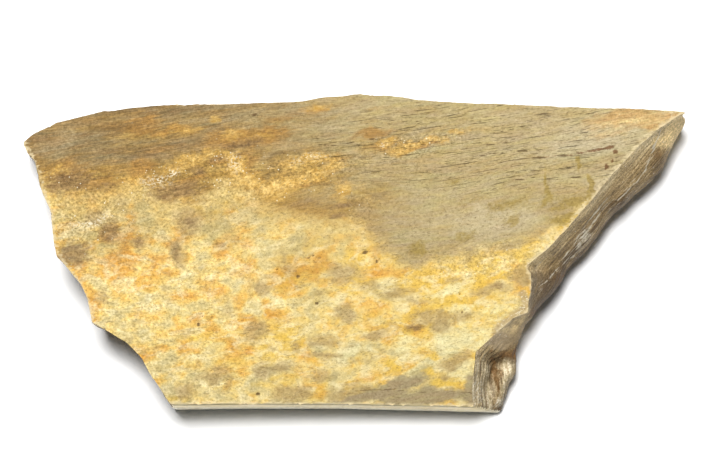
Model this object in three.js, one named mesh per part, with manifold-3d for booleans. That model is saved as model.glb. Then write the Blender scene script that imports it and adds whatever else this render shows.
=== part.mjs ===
// A section of fossil dinosaur bone: one broken and sawn piece from the thick wall of a limb bone,
// turned to stone. The weathered outer surface of the bone faces up and arches across the grain,
// which runs nearly along X. The front is a straight saw cut, the other sides are breaks, and the
// piece lies on a flat sawn back. Millimetres, +Z up, origin under the middle of its outline.
import * as THREE from "three";
import { mergeVertices } from "three/addons/utils/BufferGeometryUtils.js";
import Module from "manifold-3d";

const wasm = await Module();
wasm.setup();

// The outer surface of the bone.
const crestHeight = 17.2; // from the sawn back to the crest of the arch
const archRadius = 92; // of the shaft, across the grain
const grainAngle = THREE.MathUtils.degToRad(8.5); // the grain climbs towards +Y along +X
const crestOffset = 1.5; // where the crest passes X = 0
const swellHeight = 0.35; // slow rise and fall of the weathered surface
const swellLength = 21;
const surfaceStep = 2.3; // spacing of the facets on it

// The walls round the piece.
const wallStep = 1.4; // spacing of the facets along a wall
const breakRoughness = 0.3; // how far a broken wall wanders in and out
const breakGrainSize = 3.6;
const scallopDepth = 4.2; // shell-shaped hollows of the break, with ridges between them
const scallopWidth = 9;
const scallopHeight = 7;
const arrisNibble = 0.16; // how far the arris wanders round the outer surface
const arrisGrainSize = 2.1;
const blankRise = 1.2; // the blank carries each wall on past the outer surface by this much
const blankHeight = 23; // top of the blank before the outer surface is cut

// Outlines seen from above, counter-clockwise. Each row starts with the arris at the outer surface.
// The saw wandered a little: the second pair is the cut's foot.
const sawnFront = [
  [-36.2, -30.8, -36.2, -31.0],
  [-21.0, -30.6, -21.0, -30.8],
  [-3.0, -30.6, -3.0, -30.8],
  [13.0, -30.8, 14.5, -31.2],
];
const sawnCorner = [24.3, -31.0, 30.4, -31.6];
const sawnFootHeight = 1.5;
// In the broken end the wall runs out below its arris: the second pair is the widest line of the
// wall, and the fifth number its height.
const brokenEnd = [
  [29.1, -16.5, 34.2, -16.8, 8.5],
  [32.1, -13.8, 34.9, -14.6, 8.0],
  [35.2, -12.6, 36.5, -12.8, 7.0],
  [35.4, -10.6, 38.4, -10.2, 6.5],
  [35.8, -7.6, 40.5, -8.2, 6.5],
  [35.8, -5.1, 42.4, -6.0, 7.0],
  [34.8, -3.4, 43.3, -3.6, 7.0],
  [38.9, -0.1, 45.4, -1.2, 6.0],
  [41.6, 2.6, 48.0, 1.4, 6.0],
  [46.6, 8.3, 52.8, 7.7, 6.5],
  [52.6, 15.4, 59.8, 14.0, 7.0],
  [54.9, 17.9, 63.1, 17.3, 7.0],
  [57.2, 20.3, 64.4, 19.7, 7.5],
  [61.2, 24.0, 66.4, 24.5, 8.5],
  [65.0, 26.6, 67.6, 26.8, 9.5],
];
// At its front corner a groove runs down between the steep wall and a lump standing off it. These
// walls are given point by point from the widest line in, as [share of the way in, height].
const cornerWalls = [
  { row: [24.0, -28.6, 31.1, -28.9, 3.0], wall: [[0.12, 5.2], [0.34, 4.6], [0.56, 5.6], [0.8, 9.0]] },
  { row: [24.2, -26.0, 31.9, -26.4, 4.0], wall: [[0.12, 6.4], [0.32, 6.4], [0.52, 4.6], [0.78, 8.6]] },
  { row: [24.5, -23.8, 33.2, -24.2, 4.5], wall: [[0.12, 7.0], [0.32, 6.8], [0.54, 4.6], [0.78, 9.2]] },
  { row: [24.7, -21.8, 33.1, -22.4, 5.0], wall: [[0.14, 6.6], [0.34, 5.6], [0.56, 6.4], [0.78, 9.8]] },
  { row: [24.9, -20.3, 33.0, -20.0, 6.5], wall: [[0.1, 7.4], [0.3, 8.2], [0.56, 10.2], [0.8, 12.2]] },
];
// A third number here is how much of the scallops' depth the wall takes.
const backBreak = [
  [66.9, 27.7],
  [58.0, 28.3],
  [46.0, 28.7],
  [37.0, 29.2],
  [24.0, 29.7],
  [14.0, 30.4],
  [7.5, 31.5],
  [1.0, 31.7],
  [-5.0, 31.2],
  [-10.0, 30.4],
  [-28.0, 29.8],
  [-40.0, 29.7],
  [-50.0, 28.5],
  [-59.6, 26.2],
  [-64.1, 23.9],
];
const leftBreak = [
  [-66.4, 21.9],
  [-65.3, 19.7],
  [-63.7, 18.1],
  [-62.7, 13.5],
  [-60.2, 7.0],
  [-59.5, 1.3],
  [-58.9, -1.6],
  [-56.3, -4.4],
  [-54.1, -7.0],
  [-52.6, -10.1],
  [-52.1, -13.0],
  [-51.8, -14.7],
  [-48.0, -16.8],
  [-45.2, -18.5],
  [-42.1, -21.5],
  [-40.1, -25.0, 0.6],
  [-38.5, -27.4, 0.25],
  [-37.3, -29.2, 0.05],
];

// The other breaks lean in under their arris.
const plainBelt = 8; // height of the level below which the foot draws in
const backTuck = 1.8; // how far the foot lies in from the widest line
const leftTuck = 2.0;
const endTuck = 1.6;
const footCurve = 1.6; // how quickly the foot curls in
const thinCorners = [
  [66.4, 28.0],
  [-66.2, 22.0],
];
const cornerReach = 11; // the foot draws in less within this distance of a thin corner

// The walls' profile, as [share of the height, share of the way in]. A ridge runs along the broken
// end below its middle.
const brokenEndProfile = [
  [0.2, 0.1],
  [0.36, 0.24],
  [0.52, 0.5],
  [0.76, 0.8],
];
const sawnProfile = [
  [0.2, 0.2],
  [0.4, 0.4],
  [0.6, 0.6],
  [0.8, 0.8],
];
const plainProfile = [
  [0.2, 0.15],
  [0.42, 0.38],
  [0.64, 0.6],
  [0.84, 0.8],
];

// Curved flakes struck off the piece: centre, radii, and turn about Z in degrees.
const flakes = [
  // From the foot of the left break.
  { at: [-72.0, 9.0, -4.0], radii: [14.0, 12.0, 14.0] },
  { at: [-62.0, -10.0, -5.0], radii: [12.0, 10.0, 12.0], turn: 25 },
  { at: [-50.5, -24.5, -6.0], radii: [12.0, 11.0, 14.0] },
  // From the foot of the back break.
  { at: [-47.0, 40.5, -6.0], radii: [22.0, 15.0, 15.0], turn: -6 },
  { at: [-15.0, 42.5, -4.0], radii: [15.0, 15.0, 13.0] },
  { at: [26.0, 41.5, -7.0], radii: [24.0, 15.5, 17.0] },
  { at: [57.0, 40.5, -3.0], radii: [12.0, 14.5, 12.0] },
  // From the foot of the broken end.
  { at: [54.0, -4.6, -3.0], radii: [11.0, 10.5, 10.0], turn: 45 },
  { at: [70.5, 16.5, -5.0], radii: [15.0, 11.5, 12.5], turn: 48 },
  // A thin chip at the arris, and a shallow spall above the saw cut.
  { at: [34.6, -6.6, 19.2], radii: [4.2, 3.4, 2.9], turn: 20 },
  { at: [15.0, -33.0, 21.6], radii: [19.0, 8.5, 10.4], turn: 2 },
];
const flakeRipple = 0.14; // ripple on a flake's surface
const flakeGrainSize = 3.0;
const flakeFacetSize = 2.4;

const boneColour = 0xd0a866;

// Repeatable noise on a unit lattice, from -1 to 1.
function latticeValue(i, j, k) {
  let mixed = Math.imul(i, 374761393) + Math.imul(j, 668265263) + Math.imul(k, 1440662683);
  mixed = Math.imul(mixed ^ (mixed >>> 13), 1274126177);
  return ((mixed ^ (mixed >>> 16)) >>> 0) / 2147483648 - 1;
}

function noise(x, y, z) {
  const [i, j, k] = [x, y, z].map(Math.floor);
  const ease = (t) => t * t * (3 - 2 * t);
  const [u, v, w] = [ease(x - i), ease(y - j), ease(z - k)];
  const mix = THREE.MathUtils.lerp;
  const row = (dj, dk) => mix(latticeValue(i, j + dj, k + dk), latticeValue(i + 1, j + dj, k + dk), u);
  return mix(mix(row(0, 0), row(1, 0), v), mix(row(0, 1), row(1, 1), v), w);
}

// Height of the weathered outer surface, an arch about the grain's direction.
function outerSurface(x, y) {
  const across = (y - crestOffset) * Math.cos(grainAngle) - x * Math.sin(grainAngle);
  const swell = swellHeight * noise(x / swellLength, y / swellLength, 0.5);
  return crestHeight - across ** 2 / (2 * archRadius) + swell;
}

// One closed solid from a geometry whose faces meet all round.
function toSolid(geometry) {
  geometry.deleteAttribute("normal");
  geometry.deleteAttribute("uv");
  const merged = mergeVertices(geometry, 1e-4);
  return new wasm.Manifold(
    new wasm.Mesh({
      numProp: 3,
      vertProperties: merged.attributes.position.array,
      triVerts: new Uint32Array(merged.index.array),
    }),
  );
}

// Stations round the piece: the arris, the widest line below it and its height (belt), how far the
// foot draws in (tuck), where the wall stands at four levels between as [share of the way in,
// height], and how rough and how hollowed it is.
function outlineStations() {
  const profiled = (arris, belt, profile) => {
    const rise = outerSurface(...arris) - belt;
    return profile.map(([up, inward]) => [inward, belt + rise * up]);
  };
  const sawn = ([x, y, footX, footY]) => ({
    arris: [x, y],
    wide: [footX, footY],
    belt: sawnFootHeight,
    tuck: 0,
    wall: profiled([x, y], sawnFootHeight, sawnProfile),
    rough: 0,
    hollow: 0,
  });
  const end = ([x, y, wideX, wideY, belt]) => ({
    arris: [x, y],
    wide: [wideX, wideY],
    belt,
    tuck: endTuck,
    wall: profiled([x, y], belt, brokenEndProfile),
    rough: 1,
    hollow: 0,
  });
  const corner = ({ row, wall }) => ({ ...end(row), tuck: endTuck / 2, wall });
  const plain = (tuck) => ([x, y, hollow = 1]) => ({
    arris: [x, y],
    wide: [x, y],
    belt: plainBelt,
    tuck,
    wall: profiled([x, y], plainBelt, plainProfile),
    rough: 1,
    hollow,
  });
  return [
    ...[...sawnFront, sawnCorner].map(sawn),
    ...cornerWalls.map(corner),
    ...brokenEnd.map(end),
    ...backBreak.map(plain(backTuck)),
    ...leftBreak.map(plain(leftTuck)),
  ];
}

// Fills in samples between the stations, no further apart than wallStep on the broken walls.
function sampleOutline(stations) {
  const samples = [];
  stations.forEach((from, n) => {
    const to = stations[(n + 1) % stations.length];
    const gap = (key) => Math.hypot(to[key][0] - from[key][0], to[key][1] - from[key][1]);
    const sawn = from.rough === 0 && to.rough === 0;
    const count = sawn ? 1 : Math.ceil(Math.max(gap("arris"), gap("wide")) / wallStep);
    const { lerp } = THREE.MathUtils;
    for (let step = 0; step < count; step++) {
      const t = step / count;
      const blend = (a, b) => a.map((value, k) => lerp(value, b[k], t));
      samples.push({
        arris: new THREE.Vector2(...blend(from.arris, to.arris)),
        wide: new THREE.Vector2(...blend(from.wide, to.wide)),
        belt: lerp(from.belt, to.belt, t),
        tuck: lerp(from.tuck, to.tuck, t),
        hollow: lerp(from.hollow, to.hollow, t),
        wall: from.wall.map((point, k) => blend(point, to.wall[k])),
        rough: step === 0 ? from.rough : 1,
      });
    }
  });
  return samples;
}

// The direction out of the outline at each sample, smoothed over its neighbours.
function outwardDirections(samples) {
  const count = samples.length;
  const reach = 2;
  return samples.map((_, n) => {
    const before = samples[(n + count - reach) % count].wide;
    const after = samples[(n + reach) % count].wide;
    return new THREE.Vector2(after.y - before.y, before.x - after.x).normalize();
  });
}

// The wall under one sample, from the foot up, as points seen from above with their heights.
function wallLevels(sample, out) {
  const nibbleAt = [sample.arris.x / arrisGrainSize, sample.arris.y / arrisGrainSize, 3.5];
  const arris = sample.arris.clone().addScaledVector(out, sample.rough * arrisNibble * noise(...nibbleAt));
  const { wide, belt } = sample;
  const top = outerSurface(arris.x, arris.y);
  const toCorner = Math.min(...thinCorners.map(([x, y]) => Math.hypot(wide.x - x, wide.y - y)));
  const thinning = THREE.MathUtils.smoothstep(toCorner, 0, cornerReach);
  const lower = (up) => ({
    plan: wide.clone().addScaledVector(out, -sample.tuck * thinning * (1 - up) ** footCurve),
    height: belt * up,
  });
  const upper = ([inward, height]) => ({ plan: wide.clone().lerp(arris, inward), height });
  const weathered = ({ plan, height }) => {
    const wander = noise(plan.x / breakGrainSize, plan.y / breakGrainSize, height / breakGrainSize);
    const shell = noise(plan.x / scallopWidth, plan.y / scallopWidth, height / scallopHeight + 7);
    const below = THREE.MathUtils.smoothstep(top - height, 0.5, 5);
    const hollow = scallopDepth * sample.hollow * thinning * below * Math.abs(shell);
    const shift = sample.rough * breakRoughness * wander - hollow;
    return { plan: plan.addScaledVector(out, shift), height };
  };
  const wall = [
    ...[0, 0.38, 0.72].map(lower).map(weathered),
    ...[[0, belt], ...sample.wall].map(upper).map(weathered),
  ];
  // The last stretch runs through the arris and on, so that the outer surface cuts it there.
  const last = wall[wall.length - 1];
  const onward = arris.clone().sub(last.plan);
  const past = arris.clone().addScaledVector(onward, blankRise / (top - last.height));
  return [...wall, { plan: past, height: top + blankRise }, { plan: past, height: blankHeight }];
}

// The blank: walls lofted from the foot to above the outer surface, closed by flat caps.
function blank() {
  const samples = sampleOutline(outlineStations());
  const outward = outwardDirections(samples);
  const rows = samples.map((sample, n) => wallLevels(sample, outward[n]));
  const around = rows.length;
  const levels = rows[0].length;
  const position = [];
  for (let level = 0; level < levels; level++) {
    rows.forEach((row) => position.push(row[level].plan.x, row[level].plan.y, row[level].height));
  }
  const index = [];
  for (let level = 0; level + 1 < levels; level++) {
    for (let n = 0; n < around; n++) {
      const [a, b] = [level * around + n, level * around + ((n + 1) % around)];
      index.push(a, b, b + around, a, b + around, a + around);
    }
  }
  const cap = (level) => THREE.ShapeUtils.triangulateShape(rows.map((row) => row[level].plan), []);
  const lastRing = (levels - 1) * around;
  cap(0).forEach(([a, b, c]) => index.push(a, c, b));
  cap(levels - 1).forEach(([a, b, c]) => index.push(lastRing + a, lastRing + b, lastRing + c));
  const geometry = new THREE.BufferGeometry();
  geometry.setAttribute("position", new THREE.Float32BufferAttribute(position, 3));
  geometry.setIndex(index);
  return toSolid(geometry);
}

// Everything under the weathered outer surface.
function underOuterSurface() {
  const [length, width, depth] = [150, 80, 8];
  const cells = (size) => Math.round(size / surfaceStep);
  const geometry = new THREE.BoxGeometry(length, width, depth, cells(length), cells(width), 1);
  const place = geometry.attributes.position;
  for (let n = 0; n < place.count; n++) {
    const under = place.getZ(n) < 0;
    place.setZ(n, under ? -depth : outerSurface(place.getX(n), place.getY(n)));
  }
  return toSolid(geometry);
}

// One rippled, curved flake, to be struck off.
function flake({ at, radii, turn = 0 }) {
  const around = Math.max(16, Math.round((2 * Math.PI * Math.max(...radii)) / flakeFacetSize));
  const geometry = new THREE.SphereGeometry(1, around, Math.round(around * 0.6));
  const point = new THREE.Vector3();
  const place = geometry.attributes.position;
  for (let n = 0; n < place.count; n++) {
    point.fromBufferAttribute(place, n);
    const out = point.clone();
    point.multiply(new THREE.Vector3(...radii));
    const [x, y, z] = point.clone().divideScalar(flakeGrainSize).toArray();
    point.addScaledVector(out, flakeRipple * noise(x + at[0], y + at[1], z));
    place.setXYZ(n, ...point.toArray());
  }
  geometry.rotateZ(THREE.MathUtils.degToRad(turn));
  geometry.translate(...at);
  return toSolid(geometry);
}

const unchipped = blank().intersect(underOuterSurface());
const solid = flakes.map(flake).reduce((piece, scar) => piece.subtract(scar), unchipped);

// Back to a three.js geometry, centred over the origin.
const mesh = solid.getMesh();
const geometry = new THREE.BufferGeometry();
geometry.setAttribute("position", new THREE.BufferAttribute(mesh.vertProperties, 3));
geometry.setIndex(new THREE.BufferAttribute(mesh.triVerts, 1));
geometry.computeBoundingBox();
const middle = geometry.boundingBox.getCenter(new THREE.Vector3());
geometry.translate(-middle.x, -middle.y, -geometry.boundingBox.min.z);

const material = new THREE.MeshStandardMaterial({ color: boneColour, roughness: 0.6, metalness: 0 });
const boneSection = new THREE.Mesh(geometry, material);
boneSection.name = "bone_section";

const group = new THREE.Group();
group.add(boneSection);
export default group;
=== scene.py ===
import math
import bpy
import bmesh
import numpy as np
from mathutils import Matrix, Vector
from mathutils.bvhtree import BVHTree
from mathutils.noise import noise_vector, seed_set


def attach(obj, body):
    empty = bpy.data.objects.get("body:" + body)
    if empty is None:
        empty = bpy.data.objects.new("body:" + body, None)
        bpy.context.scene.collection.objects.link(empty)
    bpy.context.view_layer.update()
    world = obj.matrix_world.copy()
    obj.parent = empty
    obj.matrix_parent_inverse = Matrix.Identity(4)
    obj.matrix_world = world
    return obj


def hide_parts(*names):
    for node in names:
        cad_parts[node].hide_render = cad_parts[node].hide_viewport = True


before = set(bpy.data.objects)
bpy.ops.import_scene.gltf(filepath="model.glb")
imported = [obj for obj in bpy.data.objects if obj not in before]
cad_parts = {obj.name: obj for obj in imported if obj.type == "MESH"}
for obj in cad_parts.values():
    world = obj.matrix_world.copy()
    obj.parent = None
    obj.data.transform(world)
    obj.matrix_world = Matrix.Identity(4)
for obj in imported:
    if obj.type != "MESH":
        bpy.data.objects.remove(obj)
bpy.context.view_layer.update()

# A section of petrified dinosaur bone. Lengths below are in millimetres unless a line says so.
mm = 0.001
grainAngle = math.radians(8.5)  # the grain climbs towards +Y along +X
grainSway = {"length": 36.0, "width": 16.0, "reach": 6.0, "seed": 6.0}
seedStep = 17.3                 # how far apart two neighbouring seeds read a noise


# Node trees. A wire is one output of a node, and arithmetic on it adds a maths node to that tree.

class wire:
    def __init__(self, socket):
        self.socket = socket

    def __add__(self, other):
        return calc("ADD", self, other)

    def __sub__(self, other):
        return calc("SUBTRACT", self, other)

    def __rsub__(self, other):
        return calc("SUBTRACT", other, self)

    def __mul__(self, other):
        return calc("MULTIPLY", self, other)

    def __truediv__(self, other):
        return calc("DIVIDE", self, other)

    def __pow__(self, other):
        return calc("POWER", self, other)


def put(tree, kind, settings=None, sockets=None):
    made = tree.nodes.new(kind)
    made.location = (180 * (len(tree.nodes) % 24), -260 * (len(tree.nodes) // 24))
    for name, value in (settings or {}).items():
        setattr(made, name, value)
    for name, value in (sockets or {}).items():
        if isinstance(value, wire):
            tree.links.new(value.socket, made.inputs[name])
        else:
            made.inputs[name].default_value = value
    return made


def after(kind, settings, sockets, output=0):  # a node in the tree of the wires that it is given
    tree = next(value.socket.id_data for value in sockets.values() if isinstance(value, wire))
    return wire(put(tree, kind, settings, sockets).outputs[output])


def calc(operation, *values):
    return after("ShaderNodeMath", {"operation": operation}, dict(enumerate(values)))


def larger(*values):
    return calc("MAXIMUM", *values)


def about(value, amount, base):  # a noise swings either side of the base
    return calc("MULTIPLY_ADD", value - 0.5, amount, base)


def ease(value, low, high, toLow=0.0, toHigh=1.0):
    sockets = {"Value": value, "From Min": low, "From Max": high, "To Min": toLow, "To Max": toHigh}
    return after("ShaderNodeMapRange", {"interpolation_type": "SMOOTHSTEP"}, sockets)


def vectorCalc(operation, *values):
    return after("ShaderNodeVectorMath", {"operation": operation}, dict(enumerate(values)))


def scaled(vector, amount):
    return after("ShaderNodeVectorMath", {"operation": "SCALE"}, {0: vector, "Scale": amount})


def turned(place, angle):
    return after("ShaderNodeVectorRotate", {"rotation_type": "Z_AXIS"}, {"Vector": place, "Angle": angle})


def joined(*parts):
    if not any(isinstance(part, wire) for part in parts):
        return parts
    return after("ShaderNodeCombineXYZ", None, dict(enumerate(parts)))


def split(vector):
    return [wire(part) for part in after("ShaderNodeSeparateXYZ", None, {0: vector}).socket.node.outputs]


def stretched(place, length, width):
    return vectorCalc("DIVIDE", place, joined(length, width, width))


def noise(place, scale=1.0, detail=2.0, roughness=0.5, seed=0.0, distortion=0.0):
    shift = seed * seedStep
    place = vectorCalc("ADD", place, joined(shift, shift, shift))
    return after("ShaderNodeTexNoise", {"noise_dimensions": "3D"}, {
        "Vector": place, "Scale": scale, "Detail": detail, "Roughness": roughness, "Distortion": distortion})


def alongGrain(point):  # the grain sways a little
    straight = turned(point, -grainAngle)
    place = stretched(straight, grainSway["length"], grainSway["width"])
    sway = (noise(place, 1.0, 1.0, 0.5, grainSway["seed"]) - 0.5) * grainSway["reach"]
    return vectorCalc("ADD", straight, joined(0.0, sway, 0.0))


def blend(factor, under, over, how="MIX"):
    sockets = {0: factor, 6: under, 7: over}
    sockets = {key: (*value, 1.0) if isinstance(value, tuple) else value for key, value in sockets.items()}
    return after("ShaderNodeMix", {"data_type": "RGBA", "blend_type": how, "clamp_factor": True}, sockets, 2)


def overlay(colour, *layers):  # each layer is a mask and what it shows
    for mask, tint in layers:
        colour = blend(mask, colour, tint)
    return colour


def ramp(value, stops):
    colour = after("ShaderNodeValToRGB", None, {0: value})
    scale = colour.socket.node.color_ramp
    scale.interpolation = "EASE"
    for index, (place, tint) in enumerate(stops):
        stop = scale.elements[index] if index < 2 else scale.elements.new(place)
        stop.position = place
        stop.color = (*tint, 1.0)
    return colour


def newGroup(name, kind, inputs, outputs):  # an input is a number, or the word for another type
    tree = bpy.data.node_groups.new(name, kind)
    for label, value in inputs.items():
        word = value if isinstance(value, str) else "Float"
        socket = tree.interface.new_socket(label, in_out="INPUT", socket_type="NodeSocket" + word)
        if word == "Float":
            socket.default_value = value
    for label, word in outputs.items():
        tree.interface.new_socket(label, in_out="OUTPUT", socket_type="NodeSocket" + word)
    return tree, {socket.name: wire(socket) for socket in put(tree, "NodeGroupInput").outputs}


def finishGroup(tree, *values):
    put(tree, "NodeGroupOutput", None, dict(enumerate(values)))
    return tree


def placeGroup(group, **values):
    tree = next(value.socket.id_data for value in values.values() if isinstance(value, wire))
    sockets = {name.capitalize(): value for name, value in values.items()}
    return [wire(output) for output in put(tree, "ShaderNodeGroup", {"node_tree": group}, sockets).outputs]


# The bone's shape.

boneShape = {
    "voxel": 0.45,          # spacing of the fine mesh
    "crestHeight": 17.2,    # the outer surface is an arch about the grain
    "archRadius": 92.0,
    "crestOffset": 1.5,
    "centreShift": (0.641, 0.144),
    "topSlope": 0.93,       # a face is outer surface if its normal points up this much
    "topDepth": 0.9,        # and it lies no deeper than this
    "softenSteps": 7,       # how far the facets of the breaks are softened
    "arrisKeep": 0.5,       # softening starts this far from the arris
    "arrisReach": 0.34,     # points this near to the arris are moved on to it
    "sharpAngle": 38,       # degrees, above which an edge is shaded sharp
    "bendSeed": 7,          # keeps the bends of the stains' edges the same each time
    "frontTurn": -0.9,      # a face whose normal points forwards by this much is sawn
    "frontFace": -30.3,     # if it lies in front of this
    "frontEnd": 29.5,       # and no further along than this
    "backFace": 0.12,       # and so is every face lower than this
}


def outerHeight(x, y):
    x, y = x + boneShape["centreShift"][0], y + boneShape["centreShift"][1]
    across = (y - boneShape["crestOffset"]) * math.cos(grainAngle) - x * math.sin(grainAngle)
    return boneShape["crestHeight"] - across ** 2 / (2 * boneShape["archRadius"])


def readMesh(parts, name, width, kind=float):
    values = np.empty(len(parts) * width, dtype=kind)
    parts.foreach_get(name, values)
    return values.reshape(-1, width)


def meshPoints(mesh):
    return readMesh(mesh.vertices, "co", 3) / mm


def withModifiers(piece):  # a plain mesh of the piece as its modifiers leave it
    piece.data.update()
    graph = bpy.context.evaluated_depsgraph_get()
    mesh = bpy.data.meshes.new_from_object(piece.evaluated_get(graph))
    piece.modifiers.clear()
    return mesh


def snapToArris(mesh, rim, arris):
    points = meshPoints(mesh)
    start, run = arris[:, 0], arris[:, 1] - arris[:, 0]
    for index in np.flatnonzero(np.abs(rim) < 2 * boneShape["arrisReach"]):
        along = np.clip(((points[index] - start) * run).sum(1) / (run * run).sum(1), 0, 1)
        feet = start + run * along[:, None]
        gaps = np.linalg.norm(points[index] - feet, axis=1)
        if gaps.min() < boneShape["arrisReach"]:
            points[index] = feet[gaps.argmin()]
    mesh.vertices.foreach_set("co", (points * mm).ravel())
    mesh.update()


def nearestGaps(points, faces):
    corners = [corner for face in faces for corner in face]
    surface = BVHTree.FromPolygons(corners, [range(3 * n, 3 * n + 3) for n in range(len(faces))])
    return np.array([surface.find_nearest(point)[3] for point in points])


def makeFineBone(cadNode):
    welded = bmesh.new()
    welded.from_mesh(cadNode.data)
    bmesh.ops.remove_doubles(welded, verts=welded.verts, dist=1e-7)
    welded.normal_update()
    walls, tops, topFaces = [], [], set()
    for face in welded.faces:
        centre = face.calc_center_median() / mm
        depth = outerHeight(centre.x, centre.y) - centre.z
        isTop = face.normal.z > boneShape["topSlope"] and depth < boneShape["topDepth"]
        (tops if isTop else walls).append([tuple(v.co / mm) for v in face.verts])
        if isTop:
            topFaces.add(face)
    arris = [[tuple(v.co / mm) for v in edge.verts] for edge in welded.edges
             if sorted(face in topFaces for face in edge.link_faces) == [False, True]]
    mesh = bpy.data.meshes.new("bone")
    welded.to_mesh(mesh)
    welded.free()
    bone = bpy.data.objects.new("bone", mesh)
    bpy.context.scene.collection.objects.link(bone)
    remesh = bone.modifiers.new("fineMesh", "REMESH")
    remesh.mode = "VOXEL"
    remesh.voxel_size = boneShape["voxel"] * mm
    bone.data = withModifiers(bone)

    points = meshPoints(bone.data)
    rim = nearestGaps(points, tops) - nearestGaps(points, walls)  # positive down the walls
    keep = boneShape["arrisKeep"]
    weight = np.clip((rim - keep) / keep, 0, 1) * np.clip(points[:, 2] / 1.0, 0, 1)
    weight = np.maximum(weight, np.clip(-rim / 2 - 0.5, 0, 0.8))
    softening = bone.vertex_groups.new(name="softening")
    for level in range(1, 6):
        chosen = np.flatnonzero(np.round(weight * 5) == level)
        softening.add(chosen.tolist(), level / 5, "REPLACE")
    soften = bone.modifiers.new("softenFacets", "SMOOTH")
    soften.factor = 0.5
    soften.iterations = boneShape["softenSteps"]
    soften.vertex_group = "softening"
    smooth = withModifiers(bone)
    bone.vertex_groups.clear()
    snapToArris(smooth, rim, np.array(arris))
    bone.data = smooth
    return bone, rim


# Where the minerals stained it. The cream part lies below this line: x, y.
creamEdge = [
    (-70, 14.5), (-63.4, 14.1), (-59, 11.7), (-52, 10.7), (-46, 13), (-42, 12.6), (-38, 9.8), (-30, 10.6),
    (-26, 13.7), (-21, 11.4), (-16.8, 8.2), (-10.6, 6.7), (-1.8, 5.3), (2, 3.6), (4, 1.5), (7, -0.9),
    (10.2, -3.7), (14.4, -2.9), (22, -1.3), (26, -0.4), (32, 0.3), (37, 2.7), (41, 4.9), (46, 9),
]

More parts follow.
